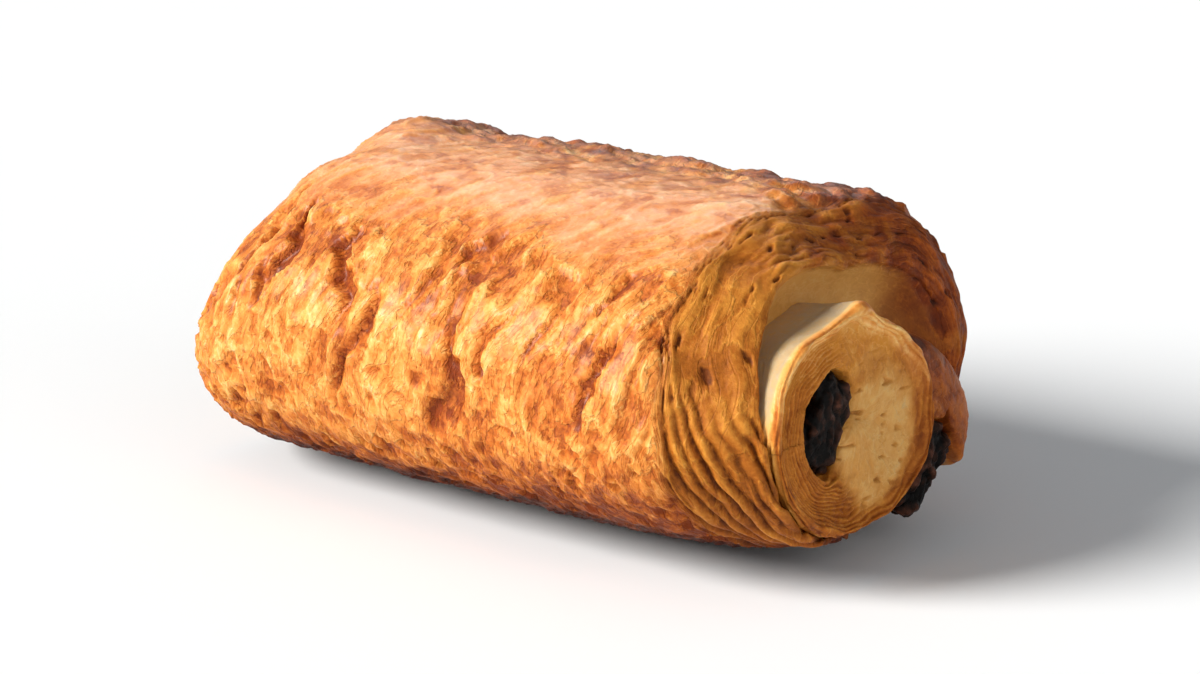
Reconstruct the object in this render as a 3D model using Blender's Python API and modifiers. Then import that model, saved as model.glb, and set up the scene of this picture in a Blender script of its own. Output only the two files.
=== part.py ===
"""A pain au chocolat: one coil of laminated dough, baked round two chocolate batons.

Metres, +Z up. X runs along the coil, Y across it, and the origin is on the ground under the middle.
The pastry is a loft of rings from one coiled end to the other: the coil's face, the gap round it,
the lip of the outer wrap, and the crust between the two lips.
"""

import math

import bmesh
import bpy
from mathutils import Vector

# Driving dimensions
LENGTH = 0.118          # over the two coiled ends
WIDTH = 0.075
HEIGHT = 0.055
BATON_WIDTH = 0.0080    # a baton's section, before it softens in the oven
BATON_DEPTH = 0.0140
BATON_CORNER = 0.0026
BATON_CLEARANCE = 0.0003

# Worked out from them
HALF_LENGTH = LENGTH / 2
HALF_WIDTH = WIDTH / 2
BELLY_HEIGHT = 0.475 * HEIGHT                # the height where the crust is widest
CROWN = HEIGHT - BELLY_HEIGHT                # from the belly up to the top
KEEL = BELLY_HEIGHT + 0.045 * HEIGHT         # from the belly down to below the ground, before it is cut flat
COIL_CENTRE = (-0.013 * WIDTH, 0.455 * HEIGHT)

RING_SIDES = 12
CAGE_SWELL = 3 / (2 + math.cos(2 * math.pi / RING_SIDES))   # undoes the shrinking of a subdivided ring
SQUARENESS = 2.25                            # 2 is an ellipse, and more is squarer
SUBDIVISIONS = 2

# Each ring of one end, from the middle of the coil's face out to the crust:
# its distance along X, its half width and its half height, as shares of the half length, width and crown,
# and how far it leans back towards the top, for each metre of height.
COIL_RINGS = (
    (1.000, 0.30, 0.27, 0.00),   # the face
    (1.000, 0.54, 0.50, 0.00),
    (0.955, 0.635, 0.59, 0.04),  # the rounded edge of the coil
    (0.740, 0.62, 0.57, 0.12),   # the bottom of the gap
)
WRAP_RINGS = (
    (0.730, 0.69, 0.67, 0.14),   # the bottom of the gap, on the wrap's side
    (0.850, 0.71, 0.73, 0.18),   # the inside of the lip
    (0.870, 0.84, 0.86, 0.22),   # the lip
    (0.775, 0.955, 0.965, 0.30), # the shoulder, where the crust begins
    (0.600, 1.00, 1.00, 0.30),
    (0.300, 1.00, 1.00, 0.15),
)
MIDDLE_RING = (0.0, 1.00, 1.00, 0.0)

PASTRY_COLOUR = (0.62, 0.30, 0.075)
CHOCOLATE_COLOUR = (0.035, 0.014, 0.008)

# Where each baton lies in the coil's section, and how its long side is turned from upright.
BATONS = {
    "front_baton": {"centre": (-0.0130, 0.0250), "turn": math.radians(-32), "length": 0.1165},
    "rear_baton": {"centre": (0.0165, 0.0112), "turn": math.radians(-62), "length": 0.109},
}


def clear_scene():
    for obj in list(bpy.data.objects):
        bpy.data.objects.remove(obj)


def collection(name):
    made = bpy.data.collections.new(name)
    bpy.context.scene.collection.children.link(made)
    return made


def material(name, colour, roughness):
    made = bpy.data.materials.new(name)
    made.use_nodes = True
    shader = made.node_tree.nodes["Principled BSDF"]
    shader.inputs["Base Color"].default_value = (*colour, 1)
    shader.inputs["Roughness"].default_value = roughness
    shader.inputs["Metallic"].default_value = 0
    return made


def move_to(obj, target):
    for holder in obj.users_collection:
        holder.objects.unlink(obj)
    target.objects.link(obj)


def superellipse(angle):
    """A point of the unit superellipse: (across, up)."""
    across, up = math.cos(angle), math.sin(angle)
    power = 2 / SQUARENESS
    return math.copysign(abs(across) ** power, across), math.copysign(abs(up) ** power, up)


def ring_points(side, ring, centre, up, down):
    """The points of one ring. side is +1 at the near end and -1 at the far one."""
    along, half_width, half_height, lean = ring
    points = []
    for index in range(RING_SIDES):
        across, rise = superellipse(2 * math.pi * index / RING_SIDES)
        y = centre[0] + CAGE_SWELL * across * half_width * HALF_WIDTH
        z = centre[1] + CAGE_SWELL * rise * half_height * (up if rise > 0 else down)
        x = along * HALF_LENGTH - lean * (z - BELLY_HEIGHT)
        points.append(Vector((side * x, y, z)))
    return points


def end_rings(side):
    coil = [ring_points(side, ring, COIL_CENTRE, CROWN, CROWN) for ring in COIL_RINGS]
    wrap = [ring_points(side, ring, (0, BELLY_HEIGHT), CROWN, KEEL) for ring in WRAP_RINGS]
    return coil + wrap


def pastry_cage():
    """A disc in the middle of one coil's face, extruded ring by ring to the other coil's face."""
    middle = ring_points(1, MIDDLE_RING, (0, BELLY_HEIGHT), CROWN, KEEL)
    rings = end_rings(-1) + [middle] + end_rings(1)[::-1]
    mesh = bpy.data.meshes.new("pastry")
    cage = bmesh.new()
    bmesh.ops.create_circle(cage, cap_ends=True, segments=RING_SIDES, radius=HALF_WIDTH)
    front = cage.faces[:][0]
    for vertex, point in zip(front.verts, rings[0]):
        vertex.co = point
    for ring in rings[1:]:
        is_first = len(cage.faces) == 1     # the far face stays, as the end of the loft
        grown = bmesh.ops.extrude_face_region(cage, geom=[front], use_keep_orig=is_first)
        if not is_first:
            bmesh.ops.delete(cage, geom=[front], context="FACES_ONLY")
        front = next(item for item in grown["geom"] if isinstance(item, bmesh.types.BMFace))
        for vertex, point in zip(front.verts, ring):
            vertex.co = point
    bmesh.ops.recalc_face_normals(cage, faces=cage.faces)
    cage.to_mesh(mesh)
    cage.free()
    return mesh


def baton(name, centre, turn, length, grow=0.0):
    """A bar with rounded edges along X. grow makes it that much larger all round."""
    bpy.ops.mesh.primitive_cube_add(size=1, location=(0, *centre), rotation=(turn, 0, 0))
    bar = bpy.context.object
    bar.name = name
    bar.scale = (length + 2 * grow, BATON_WIDTH + 2 * grow, BATON_DEPTH + 2 * grow)
    bpy.ops.object.transform_apply(location=False, rotation=False, scale=True)
    rounding = bar.modifiers.new("rounding", "BEVEL")
    rounding.width = BATON_CORNER
    rounding.segments = 3
    bar.data.shade_smooth()
    return bar


def floor_slab():
    """What the oven tray takes off the pastry's keel."""
    depth = 0.01
    bpy.ops.mesh.primitive_cube_add(size=1, location=(0, 0, -depth / 2))
    slab = bpy.context.object
    slab.name = "floor_slab"
    slab.scale = (2 * LENGTH, 2 * WIDTH, depth)
    bpy.ops.object.transform_apply(location=False, rotation=False, scale=True)
    return slab


def cut(obj, cutter, cutters):
    move_to(cutter, cutters)
    cutter.hide_render = True
    cutter.display_type = "WIRE"
    boolean = obj.modifiers.new("cut_" + cutter.name, "BOOLEAN")
    boolean.operation = "DIFFERENCE"
    boolean.solver = "EXACT"
    boolean.object = cutter


def build():
    clear_scene()
    parts = collection("pain_au_chocolat")
    cutters = collection("cutters")
    dough = material("pastry", PASTRY_COLOUR, 0.45)
    chocolate = material("chocolate", CHOCOLATE_COLOUR, 0.35)

    pastry = bpy.data.objects.new("pastry", pastry_cage())
    parts.objects.link(pastry)
    pastry.data.materials.append(dough)
    pastry.data.shade_smooth()
    rounding = pastry.modifiers.new("rounding", "SUBSURF")
    rounding.levels = SUBDIVISIONS
    rounding.render_levels = SUBDIVISIONS
    cut(pastry, floor_slab(), cutters)

    for name, place in BATONS.items():
        bar = baton(name, **place)
        bar.data.materials.append(chocolate)
        move_to(bar, parts)
        tunnel = dict(place, length=LENGTH + 0.02)
        cut(pastry, baton(name + "_tunnel", grow=BATON_CLEARANCE, **tunnel), cutters)


build()
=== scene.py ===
"""A pain au chocolat in its finished looks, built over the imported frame.

Metres, +Z up. X runs along the coil: the near coiled end is at +X and the far one at -X.
Sizes below are in millimetres of a pastry 118 mm long, and are turned into metres by UNIT.
"""

import itertools
import math
from types import SimpleNamespace

import bmesh
import bpy
import numpy as np
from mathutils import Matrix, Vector


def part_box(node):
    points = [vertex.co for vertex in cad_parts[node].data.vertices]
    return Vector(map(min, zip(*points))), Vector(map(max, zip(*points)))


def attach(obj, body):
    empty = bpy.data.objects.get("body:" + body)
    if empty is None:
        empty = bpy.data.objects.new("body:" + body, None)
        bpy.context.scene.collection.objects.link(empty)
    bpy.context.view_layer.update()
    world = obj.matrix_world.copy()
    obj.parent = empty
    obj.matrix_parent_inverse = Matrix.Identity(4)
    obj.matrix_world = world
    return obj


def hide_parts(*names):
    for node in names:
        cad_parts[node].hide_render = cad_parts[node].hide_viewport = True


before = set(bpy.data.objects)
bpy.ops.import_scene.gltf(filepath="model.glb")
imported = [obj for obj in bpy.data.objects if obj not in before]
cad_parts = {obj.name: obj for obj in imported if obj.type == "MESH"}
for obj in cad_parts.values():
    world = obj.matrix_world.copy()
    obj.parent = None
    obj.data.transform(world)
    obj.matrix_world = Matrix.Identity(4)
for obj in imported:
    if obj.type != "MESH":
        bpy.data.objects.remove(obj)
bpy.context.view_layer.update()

# The frame's own sizes
PASTRY_LOW, PASTRY_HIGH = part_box("pastry")
LENGTH = 118.0
UNIT = (PASTRY_HIGH[0] - PASTRY_LOW[0]) / LENGTH
HALF_WIDTH = 37.5
BELLY = 26.0            # the height where the crust is widest
CROWN = 27.1            # from the belly up to the top
KEEL = 26.6             # from the belly down, before the tray flattens it
NEAR, FAR = 1, -1


# ---------------------------------------------------------------- noise

def scrambled(cell, seed):
    """Three numbers between -1 and 1 for each whole-number cell."""
    x, y, z = (cell[:, axis].astype(np.uint64) for axis in range(3))
    mixed = x * np.uint64(73856093) ^ y * np.uint64(19349663) ^ z * np.uint64(83492791)
    mixed = mixed + np.uint64(seed * 2654435761 + 97)
    numbers = []
    for _ in range(3):
        mixed = (mixed ^ (mixed >> np.uint64(15))) * np.uint64(2246822519)
        mixed = mixed & np.uint64(0xFFFFFFFF)
        mixed = (mixed ^ (mixed >> np.uint64(13))) * np.uint64(3266489917)
        mixed = mixed & np.uint64(0xFFFFFFFF)
        numbers.append(mixed / 0xFFFFFFFF * 2 - 1)
    return np.stack(numbers, axis=1)


def noise(points, seed):
    """Smooth noise, about -1 to 1, with one lump to a unit."""
    cell = np.floor(points).astype(np.int64)
    inside = points - cell
    fade = inside ** 3 * (inside * (inside * 6 - 15) + 10)
    total = np.zeros(len(points))
    for corner in itertools.product((0, 1), repeat=3):
        corner = np.array(corner)
        weight = np.prod(np.where(corner == 1, fade, 1 - fade), axis=1)
        total += weight * ((inside - corner) * scrambled(cell + corner, seed)).sum(axis=1)
    return total * 1.5


def layered_noise(points, seed, octaves=3):
    """Noise with finer and weaker noise laid over it."""
    total = np.zeros(len(points))
    for octave in range(octaves):
        total += noise(points * 2 ** octave, seed + octave) / 2 ** octave
    return total


def smooth_step(low, high, value):
    """0 before low and 1 past high, or the other way about where low is the greater."""
    share = np.clip((value - low) / (high - low), 0, 1)
    return share * share * (3 - 2 * share)


def random_of(number, seed):
    """One number between 0 and 1 for each whole number."""
    cell = np.stack([number, number * 0 + seed, number * 0], axis=1).astype(np.int64)
    return scrambled(cell, seed)[:, 0] * 0.5 + 0.5


# ---------------------------------------------------------------- outlines and lofts

def oval(half_width, up, down):
    """The radius, at each angle, of an oval squarer above than below, and squarest at the back."""
    def radius(angle):
        across, rise = np.cos(angle), np.sin(angle)
        height = np.where(rise > 0, up, down)
        squareness = 2.1 + 0.35 * rise + 0.3 * across * np.maximum(rise, 0)
        power = abs(across / half_width) ** squareness + abs(rise / height) ** squareness
        return power ** (-1 / squareness)
    return radius


def drawn(centre, points):
    """The radius, at each angle about centre, of a smooth outline through the points."""
    offsets = np.array(points) - centre
    angles = np.arctan2(offsets[:, 1], offsets[:, 0]) % math.tau
    order = np.argsort(angles)
    angles, radii = angles[order], np.hypot(*offsets.T)[order]
    angles = np.concatenate([angles[-2:] - math.tau, angles, angles[:3] + math.tau])
    radii = np.concatenate([radii[-2:], radii, radii[:3]])
    slopes = np.gradient(radii, angles)

    def radius(angle):
        angle = np.asarray(angle) % math.tau
        index = np.clip(np.searchsorted(angles, angle, side="right") - 1, 0, len(angles) - 2)
        span = angles[index + 1] - angles[index]
        t = (angle - angles[index]) / span
        a, b = radii[index], radii[index + 1]
        rise_a, rise_b = slopes[index] * span, slopes[index + 1] * span
        return (a * (1 + 2 * t) * (1 - t) ** 2 + b * t * t * (3 - 2 * t)
                + rise_a * t * (1 - t) ** 2 - rise_b * t * t * (1 - t))
    return radius


def ring(x, centre, radius, sides, scale=1.0):
    """One ring of a loft: points (x, y, z) in millimetres round centre."""
    angle = np.arange(sides) * math.tau / sides
    reach = radius(angle) * scale
    return np.stack([np.full(sides, float(x)), centre[0] + reach * np.cos(angle),
                     centre[1] + reach * np.sin(angle)], axis=1)


def deselect_all():
    for obj in bpy.context.selected_objects:
        obj.select_set(False)


LOFT_LEVELS = 3         # how often each loft is subdivided


def loft(name, rings, marks):
    """A disc extruded ring by ring, closed at both ends, then subdivided.

    marks gives each ring's place across the end, which the mesh keeps as an attribute."""
    deselect_all()
    sides = len(rings[0])
    first = rings[0] * UNIT
    bpy.ops.mesh.primitive_circle_add(vertices=sides, radius=HALF_WIDTH * UNIT, fill_type="NGON",
                                      location=first.mean(axis=0), rotation=(0, math.pi / 2, 0))
    obj = bpy.context.object
    obj.name = name
    bpy.ops.object.transform_apply(location=True, rotation=True, scale=True)
    bpy.ops.object.mode_set(mode="EDIT")
    cage = bmesh.from_edit_mesh(obj.data)
    across = cage.verts.layers.float.new("across")
    place_ring(cage, list(cage.verts), rings[0], across, marks[0])
    for points, mark in zip(rings[1:], marks[1:]):
        bpy.ops.mesh.extrude_region_move()
        cage = bmesh.from_edit_mesh(obj.data)
        across = cage.verts.layers.float["across"]
        face = next(face for face in cage.faces if face.select)
        place_ring(cage, list(face.verts), points, across, mark)
        bmesh.update_edit_mesh(obj.data)
    bpy.ops.mesh.select_all(action="SELECT")
    bpy.ops.mesh.normals_make_consistent(inside=False)
    bpy.ops.object.mode_set(mode="OBJECT")
    rounding = obj.modifiers.new("rounding", "SUBSURF")
    rounding.levels = rounding.render_levels = LOFT_LEVELS
    bpy.ops.object.modifier_apply(modifier=rounding.name)
    bpy.ops.object.shade_smooth()
    return obj


def marks_along(rings):
    """How far each ring lies from the first, measured over the surface, in millimetres."""
    steps = [np.linalg.norm(after - before, axis=1).mean() for before, after in zip(rings, rings[1:])]
    return np.concatenate([[0], np.cumsum(steps)])


def place_ring(cage, verts, points, across, mark):
    for vert, point in zip(verts, points):
        vert.co = Vector(point * UNIT)
        vert[across] = mark


def places(obj):
    """The vertices' positions, in millimetres."""
    values = np.empty(len(obj.data.vertices) * 3, np.float32)
    obj.data.vertices.foreach_get("co", values)
    return values.reshape(-1, 3).astype(np.float64) / UNIT


def facings(obj):
    """The vertices' normals."""
    values = np.empty(len(obj.data.vertices) * 3, np.float32)
    obj.data.vertex_normals.foreach_get("vector", values)
    return values.reshape(-1, 3).astype(np.float64)


def reshape(obj, points):
    obj.data.vertices.foreach_set("co", (points * UNIT).astype(np.float32).ravel())
    obj.data.update()


def kept(obj, name):
    """The numbers that keep or loft stored under the name."""
    values = np.empty(len(obj.data.vertices), np.float32)
    obj.data.attributes[name].data.foreach_get("value", values)
    return values.astype(np.float64)


def keep(obj, **values):
    """Stores one number for each vertex under each name, for the materials to read."""
    for name, numbers in values.items():
        if name in obj.data.attributes:
            obj.data.attributes.remove(obj.data.attributes[name])
        made = obj.data.attributes.new(name, "FLOAT", "POINT")
        made.data.foreach_set("value", np.clip(numbers, 0, 1).astype(np.float32))


def keep_flow(obj, flow):
    """Stores, in metres, the way the grain of the dough runs: across it first, then along it."""
    made = obj.data.attributes.new("flow", "FLOAT_VECTOR", "POINT")
    made.data.foreach_set("vector", (flow * UNIT).astype(np.float32).ravel())


# ---------------------------------------------------------------- the crust

CRUST_CENTRE = (0.0, BELLY)
CRUST_SIDES = 36
CROWDING = 0.35         # draws the crust's sides together on the front and the top
CROWDED = math.radians(120)
BODY_STEPS = range(-30, 31, 5)
TAPER = 0.045           # how much wider the near end is than the middle
BODY_OUTLINE = oval(HALF_WIDTH, CROWN, KEEL)
LIP_OUTLINE = drawn(CRUST_CENTRE, [
    (27.5, 25.7), (27.0, 29.4), (25.0, 33.5), (21.0, 38.0), (14.0, 41.4), (5.0, 44.4), (-5.5, 46.8),
    (-13.0, 46.6), (-18.0, 43.8), (-22.4, 39.0), (-25.2, 33.0), (-26.6, 26.0), (-26.2, 18.5),
    (-23.0, 11.4), (-16.0, 6.4), (-6.0, 4.0), (5.0, 4.0), (15.0, 6.8), (22.6, 12.0), (26.6, 19.0),
])
SEAT_OUTLINE = drawn(CRUST_CENTRE, [
    (16.4, 24.0), (14.6, 31.4), (9.0, 35.4), (0.0, 37.4), (-9.0, 37.2), (-15.0, 35.6), (-20.0, 32.0),
    (-22.4, 26.0), (-21.4, 19.0), (-17.0, 12.6), (-9.0, 9.2), (0.0, 9.4), (9.0, 11.6), (14.6, 16.6),
])

# Each ring of an end: x, how far in it lies (0 on the crust, 1 on the lip round the dish, 2 where the
# coil sits in the dish), and how far it leans to the side
NEAR_RINGS = (
    (35.0, 0.0, 0.0), (40.0, 0.03, 0.02), (43.6, 0.11, 0.05), (46.0, 0.24, 0.06), (47.8, 0.38, 0.05),
    (49.3, 0.53, 0.03), (50.6, 0.69, 0.0), (51.6, 0.84, -0.03), (52.3, 0.96, -0.06), (52.3, 1.04, -0.07),
    (51.2, 1.14, -0.06), (49.4, 1.34, -0.04), (47.8, 1.62, -0.03), (47.0, 2.0, -0.02), (46.8, 2.5, 0.0),
)
FAR_RINGS = (
    (35.0, 0.0, 0.0), (40.0, 0.02, 0.0), (44.6, 0.06, 0.0), (48.0, 0.13, 0.0), (50.6, 0.24, 0.0),
    (53.0, 0.44, 0.0), (55.0, 0.72, 0.0), (56.0, 0.98, 0.02), (54.6, 1.10, 0.03), (50.6, 2.0, 0.0),
    (50.2, 2.5, 0.0),
)
SHOULDERS = {NEAR: 0.24, FAR: 0.98}         # where the crust ends and the layered end begins
# How the top of each end falls back: how fast it curves, and the heights where that starts and ends
END_FALL = {NEAR: (0.0076, 27.0, 60.0), FAR: (0.0128, 15.0, 44.0)}
END_LEAN = 0.06
REACH = 46.0            # the rings this far out fall back fully
UNDERCUT = 0.11         # how much the near end draws up off the tray
CORNER = 0.055          # how much fuller the near end is at the top of its back
CORNER_ANGLE, CORNER_SPREAD = math.radians(46), math.radians(24)
LAP = 3.2               # how far the layered end laps over the coil, low on the front
LAP_ANGLE, LAP_SPREAD = math.radians(212), math.radians(46)
LIFT = 0.045            # how much shallower the near half is underneath
HOLLOW = {"centre": (20.0, 5.0), "spread": (13.0, 9.0), "depth": 9.0}   # where the rear baton shows


def crust_angles():
    """The angles of a ring's points, closer together on the front and the top."""
    even = np.arange(CRUST_SIDES) * math.tau / CRUST_SIDES
    return even + CROWDING * np.sin(even - CROWDED + math.pi)


def away_from(angle, middle):
    """The angle left between two directions, from minus to plus half a turn."""
    return (angle - middle + math.pi) % math.tau - math.pi


def crust_ring(x, inward, side_lean):
    """A ring of the crust at x, from the crust's outline towards the lip, the seat and the middle."""
    side = NEAR if x > 0 else FAR
    angle = crust_angles()
    outlines = [outline(angle) for outline in (BODY_OUTLINE, LIP_OUTLINE, SEAT_OUTLINE)] + [0 * angle]
    step = min(int(inward), 2)
    share = inward - step
    reach = outlines[step] * (1 - share) + outlines[step + 1] * share
    growth = min(abs(x) / REACH, 1) ** 4
    under = np.minimum(np.sin(angle), 0)
    lap = 0
    if side == NEAR:
        corner = CORNER * np.exp(-(away_from(angle, CORNER_ANGLE) / CORNER_SPREAD) ** 2)
        reach = reach * (1 + growth * (UNDERCUT * under + corner))
        lap = LAP * np.exp(-(away_from(angle, LAP_ANGLE) / LAP_SPREAD) ** 2)
        lap = lap * smooth_step(0.3, 1.0, inward) * smooth_step(1.5, 1.08, inward)
    reach = reach * (1 - LIFT * under ** 2 * smooth_step(-8, 16, x) * (1 - growth))
    y = CRUST_CENTRE[0] + reach * np.cos(angle)
    z = CRUST_CENTRE[1] + reach * np.sin(angle)
    curve, start, end = END_FALL[side]
    fall = curve * np.clip(z - start, 0, end - start) ** 2 + END_LEAN * (z - BELLY)
    away = [(place - middle) / spread for place, middle, spread in
            zip((y, z), HOLLOW["centre"], HOLLOW["spread"])]
    fall += HOLLOW["depth"] * np.exp(-away[0] ** 2 - away[1] ** 2)
    x_all = x + side * (side_lean * y + lap - growth * fall)
    return np.stack([x_all, y * (1 + TAPER * x / (LENGTH / 2)), z], axis=1)


def crust_loft():
    """The whole crust, ring by ring from the far dish to the near one."""
    rows = [(-x, inward, lean) for x, inward, lean in reversed(FAR_RINGS)]
    rows += [(x, 0.0, 0.0) for x in BODY_STEPS]
    rows += list(NEAR_RINGS)
    rings = [crust_ring(*row) for row in rows]
    along = marks_along(rings)
    shoulders = [along[index] for index, row in enumerate(rows)
                 if row[1] == SHOULDERS[NEAR if row[0] > 0 else FAR]]
    marks = [max(shoulders[0] - place, place - shoulders[1]) for place in along]
    return loft("pastry_crust", rings, marks)


GIRTH = 33.0            # how far round the crust a radian reaches
TOP_LEAN, FRONT_LEAN = 0.45, 0.30   # how far the grain leans along the coil on its way down
LEAN_TURN = 30          # how far down the crust the one lean gives way to the other
CREASE_SPACING, CREASE_DEPTH = 7.0, 0.95
CREASE_START = (20, 22)     # how far down a crease starts: the least, and how much may be added
CREASE_LENGTH = (8, 16)
LAYER_SPACING = 1.5
PRESSED = 1.2           # what hung lower than this rests pressed on the tray


def sculpt_crust(obj):
    """Raises the flakes, creases and blisters of the crust and the layers of its ends, and colours them."""
    area = crust_area(obj)
    tear_crust(area)
    layer_ends(area)
    moved = area.points + area.normals * (crust_lift(area) + end_lift(area))[:, None]
    moved[:, 2] = np.where(moved[:, 2] < PRESSED, pressed(moved[:, 2]), moved[:, 2])
    reshape(obj, moved)
    colour_crust(obj, area)
    keep_flow(obj, area.flow)


def crust_area(obj):
    """Each vertex's place on the crust, and its share, from 0 to 1, in each part of it.

    The parts are the crust itself, the cut of an end, the dish that holds the coil, the torn front, the
    lower part of that, and the blistered rear. The flow runs with the grain of the dough."""
    points = places(obj)
    across = kept(obj, "across")
    x, y, z = points.T
    arc = np.arctan2(-y, z - BELLY) * GIRTH     # 0 at the crown, growing down the front
    down = abs(arc)
    end = smooth_step(-1.2, 1.2, across + 2.0 * noise(points / 8, 3))
    dish = smooth_step(10.4, 13.4, across + 1.4 * noise(points / 6, 4)) * end
    crust = 1 - end

    front = smooth_step(18, 32, down + 6 * noise(points / 9, 26)) * smooth_step(96, 80, down)
    low = smooth_step(44, 60, down + 8 * noise(points / 9, 62))
    rear = smooth_step(-2, 9, y + 5 * noise(points / 7, 61) + 8 * smooth_step(20, 45, x))
    rear *= smooth_step(30, 38, z + 9 * noise(points / 10, 63)) + 0.35 * smooth_step(14, 30, y)

    line = x * crust + np.sign(x) * (45 + across) * end
    line += 2.0 * noise(points / 10, 20) + FRONT_LEAN * np.clip(down - LEAN_TURN, 0, 30) * crust
    line -= TOP_LEAN * (LEAN_TURN - np.clip(arc, -10, LEAN_TURN)) * crust
    flow = np.stack([line, arc * (1 - 0.6 * end), 0 * x], axis=1)
    return SimpleNamespace(
        points=points, normals=facings(obj), x=x, y=y, z=z, across=across, arc=arc, down=down, end=end,
        dish=dish, crust=crust, cut=end - dish, front=front, low=low, rear=np.clip(rear, 0, 1), flow=flow)


def tear_crust(area):
    """Adds to the area its creases and tears, a thinner leaf torn over the first, veins and blisters."""
    points, flow = area.points, area.flow
    phase = flow[:, 0] / CREASE_SPACING
    phase += 0.7 * noise(flow / (9, 13, 1), 21) + 0.15 * noise(points / 2.5, 24)
    area.crease = creases(phase, area.down, 31) * area.crust
    torn = noise(flow / (4.6, 14, 1), 22) + 0.55 * noise(flow / (2.4, 6.5, 1), 23)
    crumpled = layered_noise(points / (3.4, 3.4, 2.6), 25, 3)
    torn = torn * (1 - 0.7 * area.low) + 0.6 * area.low * crumpled
    torn += 1.15 - 0.95 * area.front - 1.0 * area.crease
    area.valley = smooth_step(0.12, -0.10, torn)
    area.deep = np.clip(-torn, 0, 0.8)
    area.edge = np.exp(-((torn - 0.17) / 0.10) ** 2)

    area.leaf = noise(flow / (3.2, 9, 1) + 9, 51) + 0.5 * layered_noise(points / 1.9, 52, 2)
    area.leaf_edge = np.exp(-((area.leaf - 0.05) / 0.12) ** 2)
    vein = noise(flow / (4.5, 22, 1), 57) + 0.3 * noise(points / 3, 58)
    area.veins = 1 - smooth_step(0.0, 0.14, abs(vein))
    area.blister = noise(points / 2.3, 71)
    area.lumps = noise(points / 5.2, 72)
    area.swell = noise(points / 22, 11) + 0.5 * noise(points / 10, 12)


def creases(phase, down, seed):
    """Creases down the side, each with its own start, length, width and depth, and one steep side."""
    number = np.floor(phase)
    first = CREASE_START[0] + CREASE_START[1] * random_of(number, seed)
    last = first + CREASE_LENGTH[0] + CREASE_LENGTH[1] * random_of(number, seed + 1)
    reach = smooth_step(first - 2, first + 8, down) * smooth_step(last + 3, last - 6, down)
    width = 0.16 + 0.14 * random_of(number, seed + 3)
    middle = 0.35 + 0.3 * random_of(number, seed + 4)
    off = phase - number - middle
    valley = smooth_step(1.3 * width, 0.2 * width, off) * smooth_step(-0.7 * width, -0.1 * width, off)
    return valley * reach * smooth_step(0.15, 0.60, random_of(number, seed + 2))


def layer_ends(area):
    """Adds to the area the layers of its cut ends, boldest where they fold under the near coil."""
    near = area.x > 0
    folds = smooth_step(36, 24, area.z) * smooth_step(6, -10, area.y) * near
    bend = np.stack([area.arc / 11, area.across / 6, 7.0 * near], axis=1)
    inward = area.across - 0.17 * (area.arc - 50) * folds
    stack = inward / (LAYER_SPACING + 0.25 * folds) + (1.5 - 1.0 * folds) * noise(bend, 91)
    stack += (0.4 - 0.2 * folds) * noise(bend * (3.1, 2, 1), 92)
    layer = stack - np.floor(stack)
    strength = np.maximum(smooth_step(-0.3, 0.45, noise(bend * (1.6, 1, 1) + 40, 94)), folds)
    area.folds = folds
    area.ridge = smooth_step(0, 0.5, layer) * smooth_step(1, 0.80, layer)
    area.strength = strength * (0.45 + 0.55 * random_of(np.floor(stack), 95))
    area.flaky = layered_noise(area.flow / (1.7, 2.6, 1), 93, 2)
    area.leaves = layered_noise(area.flow / (3.4, 4.5, 1), 98, 2)
    area.holes = smooth_step(0.44, 0.60, noise(area.flow / (1.2, 1.6, 1), 96)) * (1 - 0.7 * folds)


def crust_lift(area):
    """How far each place on the crust rises: the broad lumps first, then tears, flakes and blisters."""
    x, y, crust, front = area.x, area.y, area.crust, area.front
    above = area.z > BELLY
    knuckle = np.exp(-((x + 37) / 7) ** 2 - ((y - 5) / 9) ** 2) * above
    notch = np.exp(-((x + 41) / 7) ** 2 - ((y + 8) / 4) ** 2) * above
    saddle = np.exp(-((x + 27) / 8) ** 2) * smooth_step(-14, 2, y) * above
    lift = 0.55 * area.swell * crust + 2.7 * knuckle - 1.0 * notch - 1.3 * saddle
    lift -= front * (0.40 * area.valley + 0.55 * area.deep) * crust + CREASE_DEPTH * area.crease
    lift += front * (0.24 * area.edge + 0.20 * smooth_step(0, 0.14, area.leaf)) * crust
    lift += 0.26 * area.low * area.blister * crust
    lift += area.rear * (0.9 * area.lumps + 0.70 * area.blister) * crust
    lift += (0.16 * area.veins + 0.16 * area.leaf_edge) * (1 - front) * crust
    lift += 0.10 * layered_noise(area.flow / (1.6, 3.2, 1), 55, 2) * (0.3 + front) * crust
    return lift


def end_lift(area):
    """How far each place on the cut ends rises."""
    layers = (0.28 + 1.1 * area.folds) * area.strength * (area.ridge - 0.6)
    rough = 0.26 * area.flaky + 0.62 * area.leaves + 0.6 * area.swell - 0.45 * area.holes
    return area.cut * (layers + rough)


def pressed(height):
    """What hung low rests on the tray, with a little unevenness left."""
    return 0.05 + 1.15 * np.exp((height - PRESSED) / 1.15)


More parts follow.
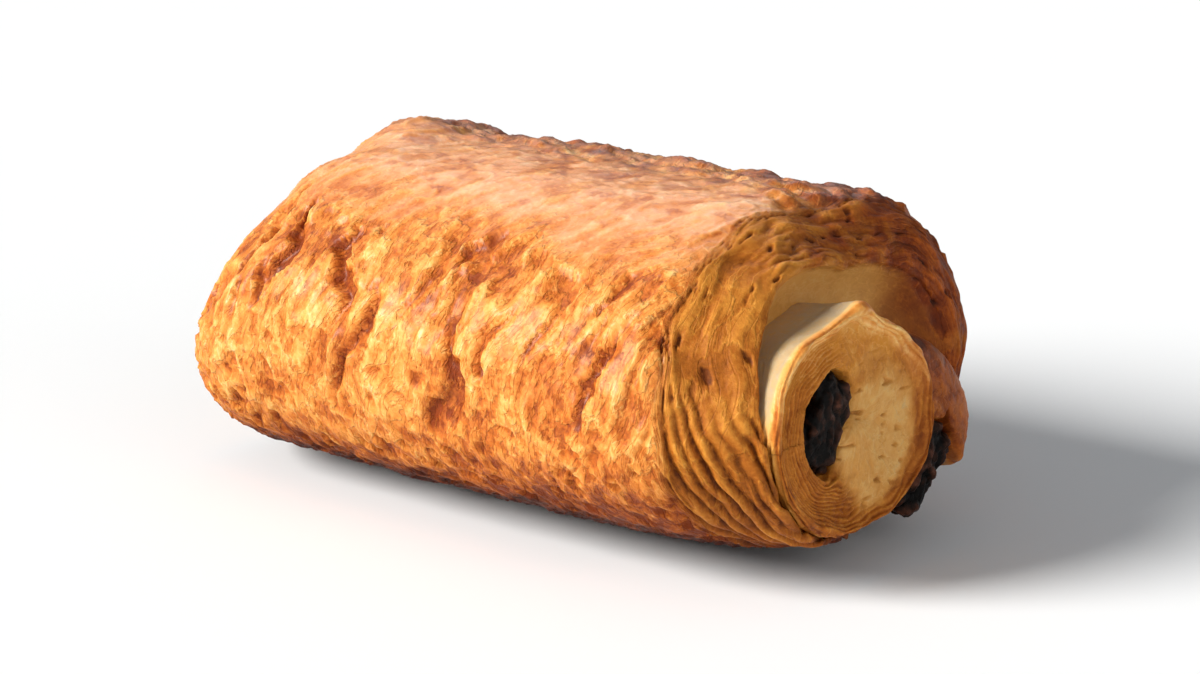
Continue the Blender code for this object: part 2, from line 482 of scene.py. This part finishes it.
def colour_crust(obj, area):
    """Keeps how light each place is, how far it has baked, where egg wash and flour show, and where the
    painted sheen and painted shade lie.
    """
    points, y, z, crust, dish = area.points, area.y, area.z, area.crust, area.dish
    area.top = (1 - area.front) * (1 - area.rear)
    area.near_rear = smooth_step(-16, 8, y + 6 * noise(points / 9, 110))
    patches = noise(points / (6, 4, 4), 108) + 0.7 * layered_noise(points / 2.2, 109, 2)
    area.patches = smooth_step(0.42 - 0.45 * area.near_rear, 0.60 - 0.45 * area.near_rear, patches)
    strokes = noise(area.flow / (3.4, 9, 1), 112) + 0.45 * noise(points / 2.2, 113)
    area.strokes = smooth_step(0.0, 0.34, strokes)
    # Darker underneath: partly browning against the tray and partly painted shade.
    area.tray = smooth_step(12, 3, z + 3 * noise(points / 6, 105))

    dish_tone = 0.45 + 0.06 * noise(points / 5, 99) - 0.20 * smooth_step(4, 20, y)
    tone = crust_tone(area) * crust + end_tone(area) * area.cut + dish_tone * dish - 0.30 * area.tray
    # Painted sheen: the top takes lighter, pinker colours for the egg wash's reflection of the light,
    # broken by the patches and strokes.
    peach = crust * area.top * (0.85 + 0.4 * noise(area.flow / (6, 12, 1), 106))
    peach *= (1 - 0.6 * area.patches) * (1 - 0.8 * area.strokes)
    floury = dish * smooth_step(21, 7, y + 2 * noise(points / 5, 97))
    flaky = np.clip(0.08 + area.front + 0.6 * area.rear, 0, 1) * (1 - dish) * (1 - 0.35 * area.cut)
    wash = crust * (1 - 0.72 * area.front) * (1 - 0.25 * np.maximum(area.rear, area.near_rear))
    wash *= (1 - 0.35 * area.strokes) * smooth_step(10, 24, z)
    keep(obj, tone=tone, bake=baking_and_shade(area) * (1 - floury), layers=area.end, cream=floury, peach=peach,
         flaky=flaky, wash=wash)


def crust_tone(area):
    """How light the crust is, from dark in the creases and underneath to light on the torn edges; the dark
    is partly painted shade.
    """
    tone = 0.47 + 0.05 * area.swell + 0.14 * noise(area.points / 4.5, 101)
    tone += 0.15 * area.leaf_edge * (0.3 + 0.7 * area.front)
    # Creases, valleys and deep tears are darker: partly the thicker egg wash there and partly painted
    # shade.
    tone += area.front * (0.20 * area.edge - 0.12 * area.valley - 0.16 * area.deep - 0.035)
    tone += 0.08 * area.low * (area.blister - 1) - 0.21 * area.crease
    tone += area.top * (0.22 * area.veins - 0.04 - 0.17 * area.patches - 0.08 * area.strokes)
    tone += 0.38 * area.rear * noise(area.points / 2.8, 104)
    upper = smooth_step(16, 26, area.down) * smooth_step(48, 36, area.down)
    tone -= upper * (0.05 + 0.24 * np.clip(noise(area.flow / (5, 11, 1), 107), 0, 1))
    # Darker towards the bottom, more so on the near half: partly browning and partly painted shade.
    tone -= 0.30 * smooth_step(18, 6, area.z)
    tone -= 0.22 * smooth_step(28, 14, area.z) * smooth_step(-12, 14, area.x)
    return tone


def end_tone(area):
    """How light the cut ends are, layer by layer, with painted shade in the holes, between the layers and
    low on the front.
    """
    # The layers' ridges are lighter and the gaps between them and the holes darker: partly paler flake
    # edges and partly painted shade.
    tone = 0.36 + 0.22 * (area.ridge - 0.5) * (1 + 1.2 * area.folds) * area.strength - 0.35 * area.holes
    tone += 0.10 * area.flaky + 0.18 * area.leaves
    # Painted shade low on the front of each end.
    tone -= 0.17 * smooth_step(34, 18, area.z) * smooth_step(8, -8, area.y)
    return tone


def baking_and_shade(area):
    """How far each place has browned, most on the rear, the rear of the ends and the bottom; underneath,
    the darkening is partly painted shade.
    """
    right = smooth_step(-2, 30, area.y) * smooth_step(4, 44, abs(area.x))
    over = smooth_step(40, 52, area.z) * smooth_step(28, 44, abs(area.x)) * area.end
    bake = 0.52 * area.rear + 0.35 * area.rear * area.lumps + 0.85 * right - 0.12 * over
    # Underneath: partly browning against the tray and partly painted shade.
    bake += area.tray + 0.25 * smooth_step(22, 8, area.z)
    bake += (0.60 * noise(area.points / 3.6, 103) + 0.30 * area.blister) * smooth_step(0.05, 0.4, bake)
    bake += 0.30 * area.patches * area.near_rear * area.top * area.crust
    return bake * (1 - 0.55 * area.dish)


# ---------------------------------------------------------------- the coil in each end

COIL_SIDES = 48
COIL_SET = {NEAR: (0.0, 0.06), FAR: (-6.4, 0.17)}   # how deep each coil is set, and how it leans back
COIL_CENTRE = (-6.0, 24.5)
COIL_OUTLINE = drawn(COIL_CENTRE, [
    (12.8, 21.0), (12.6, 24.6), (11.6, 28.6), (9.4, 32.4), (4.0, 36.6), (-1.2, 39.6), (-4.6, 41.8),
    (-8.0, 41.2), (-13.6, 40.0), (-20.0, 38.6), (-24.4, 34.8), (-26.8, 28.5), (-25.6, 20.4),
    (-21.4, 13.4), (-14.6, 9.4), (-6.6, 8.2), (1.0, 9.2), (6.4, 11.4), (10.2, 14.4), (12.2, 17.6),
])
PIT_CENTRE = (-12.6, 25.4)
PIT_OUTLINE = drawn(PIT_CENTRE, [
    (-11.4, 33.0), (-6.8, 29.8), (-7.0, 25.8), (-9.8, 21.8), (-10.4, 18.0), (-14.8, 17.8),
    (-18.2, 21.4), (-18.9, 25.8), (-17.2, 29.6), (-14.2, 32.2),
])
CRUMB_CENTRE, CRUMB_SIZE = (-0.6, 20.8), (9.4, 12.0)
# The coil's rings: x and scale of its skin out to the rim, then x and share of the way from the rim to
# the pit over its face, then x and scale down the pit
SKIN_RINGS = ((34, 0.78), (40, 0.83), (45, 0.885), (50, 0.935), (54.5, 0.98), (57.2, 1.0), (58.2, 0.99),
              (58.3, 0.955), (57.4, 0.92))
FACE_RINGS = ((57.3, 0.10), (57.0, 0.25), (57.1, 0.42), (57.3, 0.60), (57.4, 0.78), (57.1, 0.92),
              (56.2, 1.0))
PIT_RINGS = ((52.0, 0.94), (48.0, 0.86), (47.5, 0.4))
RIM_RING = 6            # the skin's ring that the marks across the coil are measured from


def set_in_end(rings, side, height):
    """Moves rings made for the near end to the depth and lean of the coil in either end."""
    shift, lean = COIL_SET[side]
    for points in rings:
        points[:, 0] = side * (points[:, 0] + shift - lean * (points[:, 2] - height))


def coil(name, side):
    """The rolled middle: its floury skin, the golden rim, the crumb of its face and the baton's pit."""
    rings = [ring(x, COIL_CENTRE, COIL_OUTLINE, COIL_SIDES, scale) for x, scale in SKIN_RINGS]
    rim, pit = rings[-1], ring(0, PIT_CENTRE, PIT_OUTLINE, COIL_SIDES)
    for x, share in FACE_RINGS:
        between = rim * (1 - share) + pit * share
        between[:, 0] = x
        rings.append(between)
    rings += [ring(x, PIT_CENTRE, PIT_OUTLINE, COIL_SIDES, scale) for x, scale in PIT_RINGS]
    set_in_end(rings, side, COIL_CENTRE[1])
    marks = marks_along(rings)
    obj = loft(name, rings, marks - marks[RIM_RING])
    sculpt_coil(obj, side)
    return obj


def sculpt_coil(obj, side):
    """Raises the strands and crumb of the coil and colours them, with painted shade in the slits, between
    the layers and towards the bottom.
    """
    points, normals = places(obj), facings(obj)
    across = kept(obj, "across")
    x, y, z = points.T
    seed = 200 if side == NEAR else 300
    angle = np.arctan2(z - COIL_CENTRE[1], y - COIL_CENTRE[0])
    skin = smooth_step(-0.2, -1.6, across)
    face = smooth_step(2.0, 3.8, across + 0.9 * noise(points / 4, seed))
    band = (1 - skin) * (1 - face)
    stack = across / 1.0 + 1.3 * noise(np.stack([angle * 3, across / 4, 0 * x], axis=1), seed + 1)
    layer = stack - np.floor(stack)
    ridge = smooth_step(0, 0.5, layer) * smooth_step(1, 0.6, layer)
    middle = np.hypot((y - CRUMB_CENTRE[0]) / CRUMB_SIZE[0], (z - CRUMB_CENTRE[1]) / CRUMB_SIZE[1])
    crumb = smooth_step(1.15, 0.66, middle + 0.22 * noise(points / 4, seed + 9)) * face
    left = smooth_step(-2, -10, y + 0.5 * (z - 24)) * face * (1 - crumb)
    wrapped = smooth_step(31, 24, z + 2 * noise(points / 5, seed + 10)) * smooth_step(8, -6, y) * skin
    slits = smooth_step(0.36, 0.52, noise(np.stack([y / 3.2, z / 0.9, 0 * x], axis=1), seed + 3)) * crumb
    swell = noise(points / 10, seed + 4)
    grain_rise = layered_noise(points / 1.8, seed + 5)
    peak = np.exp(-((y + 4.6) / 2.2) ** 2) * smooth_step(38, 42, z) * smooth_step(50, 57, abs(x))
    lift = 0.5 * swell + 0.10 * skin * grain_rise + 0.9 * peak + 0.7 * wrapped * (ridge - 0.5)
    lift += band * (0.20 * (ridge - 0.5) + 0.35 * noise(points / 3, seed + 11))
    lift += face * (0.36 * left * (ridge - 0.5) + 0.14 * grain_rise) + 0.35 * crumb * swell - 0.5 * slits
    reshape(obj, points + normals * lift[:, None])

    high = smooth_step(22, 34, z)
    lower = smooth_step(26, 12, z)
    tone = 0.90 * skin * (1 - wrapped) + 0.36 * wrapped
    tone += (0.38 + 0.28 * high) * band + (0.44 + 0.12 * crumb) * face
    # Painted shade darkens the slits.
    tone += (0.12 * noise(points / 5, seed + 7) + 0.08 * grain_rise) * (1 - 0.5 * skin) - 0.30 * slits
    # The layers' ridges are lighter and the gaps between them darker: partly paler flake edges and partly
    # painted shade.
    tone += 0.18 * (ridge - 0.5) * (band + left + wrapped) - 0.22 * np.exp(-((across + 0.4) / 0.45) ** 2)
    # Painted shade towards the bottom of the skin and of the lower face.
    tone -= 0.35 * smooth_step(16, 9, z) * skin + 0.08 * lower * (1 - skin) * (1 - crumb)
    tone += 0.16 * smooth_step(28, 38, z) * face * (1 - crumb)
    ring_right = smooth_step(3, 9, y) * (1 - skin) * (1 - crumb)
    bake = 0.10 * band * (1 - high) + 0.42 * ring_right
    bake += 0.24 * left + 0.12 * face * (1 - crumb) + 0.2 * noise(points / 4, seed + 12) * (1 - skin)
    layers = 0.25 * band * high + 0.85 * band * (1 - high) + face + wrapped
    cream = skin ** 2 * smooth_step(12, 2, y) * (1 - wrapped) + 0.8 * crumb
    keep(obj, tone=tone, bake=bake, layers=layers, cream=cream, wash=0.3 * band * high, peach=0 * tone,
         flaky=0.10 + 0.35 * band + 0.25 * face + 0.4 * wrapped)
    keep_flow(obj, np.stack([across, angle * 14, 0 * x], axis=1))


# ---------------------------------------------------------------- the flap over the rear baton

FLAP_CENTRE = (20.5, 21.0)
FLAP_OUTLINE = drawn(FLAP_CENTRE, [
    (8.0, 34.5), (12.5, 32.8), (17.4, 30.8), (21.4, 28.4), (25.0, 25.2), (27.8, 21.6), (29.4, 18.0),
    (29.4, 14.4), (27.6, 10.8), (24.8, 8.8), (22.7, 12.8), (21.4, 15.6), (18.8, 17.6), (15.2, 18.8),
    (12.0, 20.6), (9.4, 26.0),
])
FLAP_SIDES = 48
FLAP_RINGS = ((34, 1.16), (42, 1.16), (48, 1.11), (51.4, 1.05), (53.4, 1.0), (54.8, 0.92), (55.7, 0.80),
              (56.1, 0.6), (56.2, 0.3))
FLAP_EDGE_RING = 4      # the ring that the marks across the flap are measured from
FLAP_TURN = 0.10        # how much further back the flap's rear lies


def flap(name, side):
    """The outer turn's end, a rounded lobe that comes down beside the coil over the rear baton."""
    rings = [ring(x, FLAP_CENTRE, FLAP_OUTLINE, FLAP_SIDES, scale) for x, scale in FLAP_RINGS]
    for points in rings:
        points[:, 0] -= FLAP_TURN * (points[:, 1] - 15)
    set_in_end(rings, side, FLAP_CENTRE[1])
    marks = marks_along(rings)
    obj = loft(name, rings, marks - marks[FLAP_EDGE_RING])
    points, normals = places(obj), facings(obj)
    across = kept(obj, "across")
    x, y, z = points.T
    seed = 400 if side == NEAR else 500
    layer = noise(np.stack([(y - z) / 10, (y + z) / 1.6, x / 9], axis=1), seed)
    fine = layered_noise(points / 2, seed + 2)
    lift = 0.6 * noise(points / 7, seed + 1) + 0.14 * layer + 0.14 * fine
    reshape(obj, points + normals * lift[:, None])
    tone = 0.34 + 0.18 * layer + 0.12 * fine + 0.26 * np.exp(-((across + 1.5) / 1.6) ** 2)
    # Painted highlight: the outer side glows lighter, as light shining through the flap's edge; painted
    # shade darkens the inner side beside the coil.
    tone += 0.22 * smooth_step(21, 28, y) - 0.35 * smooth_step(4, 0, y - 12)
    bake = 0.86 + 0.25 * noise(points / 4, seed + 4)
    keep(obj, tone=tone, bake=bake, layers=0.3 + 0 * tone, cream=0 * tone, wash=0.15 + 0 * tone,
         peach=0 * tone, flaky=0.5 + 0 * tone)
    keep_flow(obj, np.stack([(y + z) / 1.4, (y - z) / 1.4, x], axis=1))
    return obj


# ---------------------------------------------------------------- the chocolate

BATON_WIDTH, BATON_DEPTH = 8.4, 14.6
BATONS = {
    "front_baton": {"centre": (-12.2, 25.3), "turn": math.radians(-30), "ends": (-51.5, 56.9)},
    "rear_baton": {"centre": (14.4, 11.6), "turn": math.radians(-47), "ends": (-51.0, 55.8)},
}


def baton(name, centre, turn, ends):
    """A softened bar, lumpy where its ends show."""
    deselect_all()
    length = ends[1] - ends[0]
    middle = (sum(ends) / 2 * UNIT, centre[0] * UNIT, centre[1] * UNIT)
    bpy.ops.mesh.primitive_cube_add(size=1, location=middle, rotation=(turn, 0, 0))
    bar = bpy.context.object
    bar.name = name + "_chocolate"
    bar.scale = (length * UNIT, BATON_WIDTH * UNIT, BATON_DEPTH * UNIT)
    bpy.ops.object.transform_apply(location=True, rotation=True, scale=True)
    bpy.ops.object.mode_set(mode="EDIT")
    bpy.ops.mesh.select_all(action="SELECT")
    bpy.ops.mesh.subdivide(number_cuts=2)
    bpy.ops.mesh.select_all(action="DESELECT")
    cage = bmesh.from_edit_mesh(bar.data)
    for edge in cage.edges:
        run = edge.verts[0].co - edge.verts[1].co
        edge.select = abs(run.x) > 0.2 * length * UNIT
    bpy.ops.mesh.subdivide(number_cuts=10)
    bpy.ops.mesh.select_all(action="SELECT")
    bpy.ops.object.mode_set(mode="OBJECT")
    softening = bar.modifiers.new("softening", "SUBSURF")
    softening.levels = softening.render_levels = 3
    bpy.ops.object.modifier_apply(modifier=softening.name)
    bpy.ops.object.shade_smooth()
    points, normals = places(bar), facings(bar)
    big, small = abs(noise(points / 2.3, 601)), abs(noise(points / 1.1, 602))
    lumps = 1.5 * big + 0.5 * small + 0.5 * noise(points / 5, 603)
    reshape(bar, points + normals * (lumps[:, None] - 0.35))
    keep(bar, tone=0.26 + 1.0 * big + 0.3 * small + 0.35 * noise(points / 3, 604))
    return bar


# ---------------------------------------------------------------- materials

def new_material(name):
    """A material with its nodes and links."""
    made = bpy.data.materials.new(name)
    made.use_nodes = True
    return made, made.node_tree.nodes, made.node_tree.links


def ramp(nodes, links, value, stops):
    """The colour that the stops give for the value."""
    made = nodes.new("ShaderNodeValToRGB")
    elements = made.color_ramp.elements
    while len(elements) < len(stops):
        elements.new(0.5)
    for element, (place, colour) in zip(elements, stops):
        element.position = place
        element.color = (*colour, 1)
    links.new(value, made.inputs["Fac"])
    return made.outputs["Color"]


def mixed(nodes, links, share, first, second):
    """The first colour with a share of the second over it."""
    made = nodes.new("ShaderNodeMix")
    made.data_type = "RGBA"
    links.new(share, made.inputs["Factor"])
    links.new(first, made.inputs["A"])
    links.new(second, made.inputs["B"])
    return made.outputs["Result"]


def attribute(nodes, name):
    made = nodes.new("ShaderNodeAttribute")
    made.attribute_name = name
    return made.outputs["Fac"]


def grain(nodes, links, scale, detail=4, roughness=0.55):
    """Noise on the object's own coordinates, with lumps of the given size in millimetres."""
    where = nodes.new("ShaderNodeTexCoord")
    made = nodes.new("ShaderNodeTexNoise")
    made.inputs["Scale"].default_value = 1 / (scale * UNIT)
    made.inputs["Detail"].default_value = detail
    made.inputs["Roughness"].default_value = roughness
    links.new(where.outputs["Object"], made.inputs["Vector"])
    return made.outputs["Fac"]


def sums(nodes, links, operation, first, second):
    """One step of arithmetic on two sockets or numbers."""
    made = nodes.new("ShaderNodeMath")
    made.operation = operation
    for socket, value in zip(made.inputs, (first, second)):
        if isinstance(value, (int, float)):
            socket.default_value = value
        else:
            links.new(value, socket)
    return made.outputs[0]


CRUST_TONES = ((0.0, (0.24, 0.040, 0.004)), (0.25, (0.52, 0.13, 0.014)), (0.5, (0.74, 0.27, 0.048)),
               (0.72, (0.84, 0.42, 0.11)), (1.0, (0.95, 0.68, 0.30)))
# Painted sheen: lighter, pinker colours of the top, for the egg wash's reflection of the light.
PAINTED_SHEEN_TONES = ((0.0, (0.45, 0.10, 0.015)), (0.35, (0.72, 0.25, 0.06)), (0.6, (0.82, 0.37, 0.15)),
               (1.0, (0.93, 0.58, 0.30)))
# Dark baked colours, used both for browning and for painted shade underneath.
BAKED_AND_SHADED_TONES = ((0.0, (0.040, 0.006, 0.001)), (0.3, (0.17, 0.027, 0.002)), (0.6, (0.42, 0.095, 0.009)),
               (1.0, (0.74, 0.30, 0.07)))
LAYER_TONES = ((0.0, (0.12, 0.026, 0.002)), (0.3, (0.36, 0.105, 0.010)), (0.6, (0.60, 0.24, 0.032)),
               (1.0, (0.84, 0.52, 0.16)))
CREAM_TONES = ((0.0, (0.30, 0.10, 0.014)), (0.45, (0.64, 0.31, 0.075)), (0.70, (0.70, 0.41, 0.14)),
               (0.86, (0.52, 0.35, 0.17)), (1.0, (0.48, 0.355, 0.215)))


def along_grain(nodes, links, wide, long, detail=2):
    """Noise drawn out along the grain of the dough, its streaks wide and long in millimetres."""
    way = nodes.new("ShaderNodeAttribute")
    way.attribute_name = "flow"
    stretched = nodes.new("ShaderNodeMapping")
    stretched.inputs["Scale"].default_value = (1 / (wide * UNIT), 1 / (long * UNIT), 1 / (long * UNIT))
    links.new(way.outputs["Vector"], stretched.inputs["Vector"])
    made = nodes.new("ShaderNodeTexNoise")
    made.inputs["Scale"].default_value = 1.0
    made.inputs["Detail"].default_value = detail
    links.new(stretched.outputs["Vector"], made.inputs["Vector"])
    return made.outputs["Fac"]


def lines(nodes, links, value, width):
    """1 along the lines where the value crosses its middle, falling to 0 beside them."""
    off = sums(nodes, links, "ABSOLUTE", sums(nodes, links, "SUBTRACT", value, 0.5), 0)
    return sums(nodes, links, "MAXIMUM", sums(nodes, links, "SUBTRACT", 1.0,
                                              sums(nodes, links, "DIVIDE", off, width)), 0)


def stepped(nodes, links, value, low, high):
    """0 below low and 1 above high, as where one torn leaf of dough lies over the next."""
    made = nodes.new("ShaderNodeMapRange")
    made.interpolation_type = "SMOOTHSTEP"
    made.inputs["From Min"].default_value = low
    made.inputs["From Max"].default_value = high
    links.new(value, made.inputs["Value"])
    return made.outputs["Result"]


def dough_material():
    """Baked dough: egg-washed, torn, layered, floury or dark, as the pieces' attributes say, with a painted
    sheen on the top and painted shade in cracks, creases and underneath.
    """
    made, nodes, links = new_material("baked_dough")
    shader = nodes["Principled BSDF"]
    flaky = attribute(nodes, "flaky")
    mottle = sums(nodes, links, "SUBTRACT", grain(nodes, links, 2.0, 6, 0.65), 0.5)
    specks = sums(nodes, links, "SUBTRACT", grain(nodes, links, 0.6, 3), 0.5)
    streaks = sums(nodes, links, "SUBTRACT", along_grain(nodes, links, 1.2, 3.6, 4), 0.5)
    split = lines(nodes, links, along_grain(nodes, links, 1.5, 6.0, 3), 0.035)
    cracks = sums(nodes, links, "MULTIPLY", split, flaky)
    torn = along_grain(nodes, links, 2.4, 3.6, 6)
    flakes = lines(nodes, links, torn, 0.03)
    leaf = sums(nodes, links, "SUBTRACT", stepped(nodes, links, torn, 0.47, 0.53), 0.5)
    leaf = sums(nodes, links, "MULTIPLY", leaf, flaky)
    marks = sums(nodes, links, "MULTIPLY", mottle, 0.60)
    # The cracks are darkened with painted shade.
    for pattern, amount in ((specks, 0.42), (streaks, 0.20), (cracks, -0.10), (flakes, 0.17), (leaf, 0.13)):
        marks = sums(nodes, links, "ADD", marks, sums(nodes, links, "MULTIPLY", pattern, amount))
    busy = sums(nodes, links, "ADD", sums(nodes, links, "MULTIPLY", flaky, 0.5), 0.5)
    tone = sums(nodes, links, "ADD", attribute(nodes, "tone"), sums(nodes, links, "MULTIPLY", marks, busy))
    crust = ramp(nodes, links, tone, CRUST_TONES)
    peach = ramp(nodes, links, tone, PAINTED_SHEEN_TONES)
    baked = ramp(nodes, links, tone, BAKED_AND_SHADED_TONES)
    layers = ramp(nodes, links, tone, LAYER_TONES)
    cream = ramp(nodes, links, tone, CREAM_TONES)
    # The painted sheen goes on the top; the baked colours carry browning and painted shade.
    colour = mixed(nodes, links, attribute(nodes, "peach"), crust, peach)
    colour = mixed(nodes, links, attribute(nodes, "layers"), colour, layers)
    colour = mixed(nodes, links, attribute(nodes, "bake"), colour, baked)
    colour = mixed(nodes, links, attribute(nodes, "cream"), colour, cream)
    links.new(colour, shader.inputs["Base Color"])
    links.new(sums(nodes, links, "ADD", sums(nodes, links, "MULTIPLY", mottle, 0.3), 0.55),
              shader.inputs["Roughness"])
    shader.inputs["Specular IOR Level"].default_value = 0.12
    gloss = sums(nodes, links, "ADD", sums(nodes, links, "MULTIPLY", mottle, 2.2), 0.8)
    links.new(sums(nodes, links, "MULTIPLY", attribute(nodes, "wash"), gloss), shader.inputs["Coat Weight"])
    shader.inputs["Coat Roughness"].default_value = 0.33
    shader.inputs["Subsurface Weight"].default_value = 0.12
    shader.inputs["Subsurface Radius"].default_value = (1.0, 0.45, 0.15)
    shader.inputs["Subsurface Scale"].default_value = 0.0018
    height = sums(nodes, links, "MULTIPLY", mottle, 0.8)
    for pattern, amount in ((specks, 0.40), (streaks, 0.5), (cracks, -0.35), (flakes, 0.25), (leaf, 0.9)):
        height = sums(nodes, links, "ADD", height, sums(nodes, links, "MULTIPLY", pattern, amount))
    height = sums(nodes, links, "MULTIPLY", height, sums(nodes, links, "ADD", flaky, 0.18))
    bump = nodes.new("ShaderNodeBump")
    bump.inputs["Strength"].default_value = 0.7
    bump.inputs["Distance"].default_value = 0.0005
    links.new(height, bump.inputs["Height"])
    links.new(bump.outputs["Normal"], shader.inputs["Normal"])
    return made


CHOCOLATE_TONES = ((0.0, (0.0008, 0.0006, 0.0005)), (0.45, (0.003, 0.0018, 0.0012)),
                   (0.75, (0.030, 0.011, 0.0060)), (1.0, (0.085, 0.031, 0.018)))


def chocolate_material():
    """Dark chocolate that has melted and set again, a little browner on its lumps."""
    made, nodes, links = new_material("dark_chocolate")
    shader = nodes["Principled BSDF"]
    speckle = sums(nodes, links, "SUBTRACT", grain(nodes, links, 0.9, 4), 0.5)
    tone = sums(nodes, links, "ADD", attribute(nodes, "tone"), speckle)
    links.new(ramp(nodes, links, tone, CHOCOLATE_TONES), shader.inputs["Base Color"])
    shader.inputs["Roughness"].default_value = 0.36
    shader.inputs["Specular IOR Level"].default_value = 0.07
    bump = nodes.new("ShaderNodeBump")
    bump.inputs["Strength"].default_value = 0.6
    bump.inputs["Distance"].default_value = 0.0004
    links.new(grain(nodes, links, 0.8, 5), bump.inputs["Height"])
    links.new(bump.outputs["Normal"], shader.inputs["Normal"])
    return made


# ---------------------------------------------------------------- floor, light and camera

def stage():
    """The pale floor."""
    deselect_all()
    bpy.ops.mesh.primitive_plane_add(size=6, location=(0, 0, 0))
    floor = bpy.context.object
    floor.name = "floor"
    made, nodes, links = new_material("pale_floor")
    nodes["Principled BSDF"].inputs["Base Color"].default_value = (0.90, 0.91, 0.92, 1)
    nodes["Principled BSDF"].inputs["Roughness"].default_value = 0.9
    nodes["Principled BSDF"].inputs["Specular IOR Level"].default_value = 0.1
    floor.data.materials.append(made)


def aim(obj, towards):
    obj.rotation_mode = "QUATERNION"
    obj.rotation_quaternion = (Vector(towards) - obj.location).to_track_quat("-Z", "Y")


def lights():
    """A broad key low in front, a weak fill from the near end and a sheen from high behind."""
    world = bpy.data.worlds.new("studio")
    bpy.context.scene.world = world
    world.use_nodes = True
    background = world.node_tree.nodes["Background"]
    background.inputs["Color"].default_value = (0.90, 0.95, 1.0, 1)
    background.inputs["Strength"].default_value = 0.24
    sun("key", (-0.47, -0.70, 0.47), 5.3, 26, (1.0, 0.98, 0.95))
    sun("fill", (0.90, -0.30, 0.26), 0.95, 60, (1.0, 0.99, 0.97))
    softbox("sheen", (-0.66, 0.44, 0.76), (1.3, 0.7), 5.0, (0.95, 0.97, 1.0))


def sun(name, location, strength, spread, colour):
    made = bpy.data.objects.new(name, bpy.data.lights.new(name, "SUN"))
    bpy.context.scene.collection.objects.link(made)
    made.data.energy = strength
    made.data.angle = math.radians(spread)
    made.data.color = colour
    made.location = location
    aim(made, (0, 0, 0))


def softbox(name, location, size, power, colour):
    made = bpy.data.objects.new(name, bpy.data.lights.new(name, "AREA"))
    bpy.context.scene.collection.objects.link(made)
    made.data.shape = "RECTANGLE"
    made.data.size, made.data.size_y = size
    made.data.energy = power
    made.data.color = colour
    made.location = location
    aim(made, (0, 0, 0.04))
    made.visible_camera = False
    made.visible_diffuse = False        # it shows only as a sheen on the egg wash


CAMERA_AIM = Vector((0.0028, 0.0021, 0.0255))
CAMERA_AZIMUTH = math.radians(38.64)
CAMERA_ELEVATION = math.radians(16.15)
CAMERA_DISTANCE = 0.618
CAMERA_LENS, CAMERA_SENSOR = 119.4, 36


def camera():
    data = bpy.data.cameras.new("camera")
    obj = bpy.data.objects.new("camera", data)
    bpy.context.scene.collection.objects.link(obj)
    data.sensor_width = CAMERA_SENSOR
    data.lens = CAMERA_LENS
    back = Vector((math.sin(CAMERA_AZIMUTH) * math.cos(CAMERA_ELEVATION),
                   -math.cos(CAMERA_AZIMUTH) * math.cos(CAMERA_ELEVATION), math.sin(CAMERA_ELEVATION)))
    obj.location = CAMERA_AIM + back * CAMERA_DISTANCE
    aim(obj, CAMERA_AIM)
    bpy.context.scene.camera = obj


# ---------------------------------------------------------------- putting it together

def build():
    """Makes every piece and tells the frame what each one stands for."""
    dough = dough_material()
    chocolate = chocolate_material()
    crust = crust_loft()
    sculpt_crust(crust)
    doughs = [crust]
    for side, word in ((NEAR, "near"), (FAR, "far")):
        doughs.append(coil(word + "_coil", side))
        doughs.append(flap(word + "_flap", side))
    for piece in doughs:
        piece.data.materials.clear()
        piece.data.materials.append(dough)
        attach(piece, "root")
        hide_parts("pastry")
    for node, place in BATONS.items():
        bar = baton(node, **place)
        bar.data.materials.append(chocolate)
        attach(bar, "root")
        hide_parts(node)


bpy.context.scene.view_settings.view_transform = "Standard"
build()
stage()
lights()
camera()
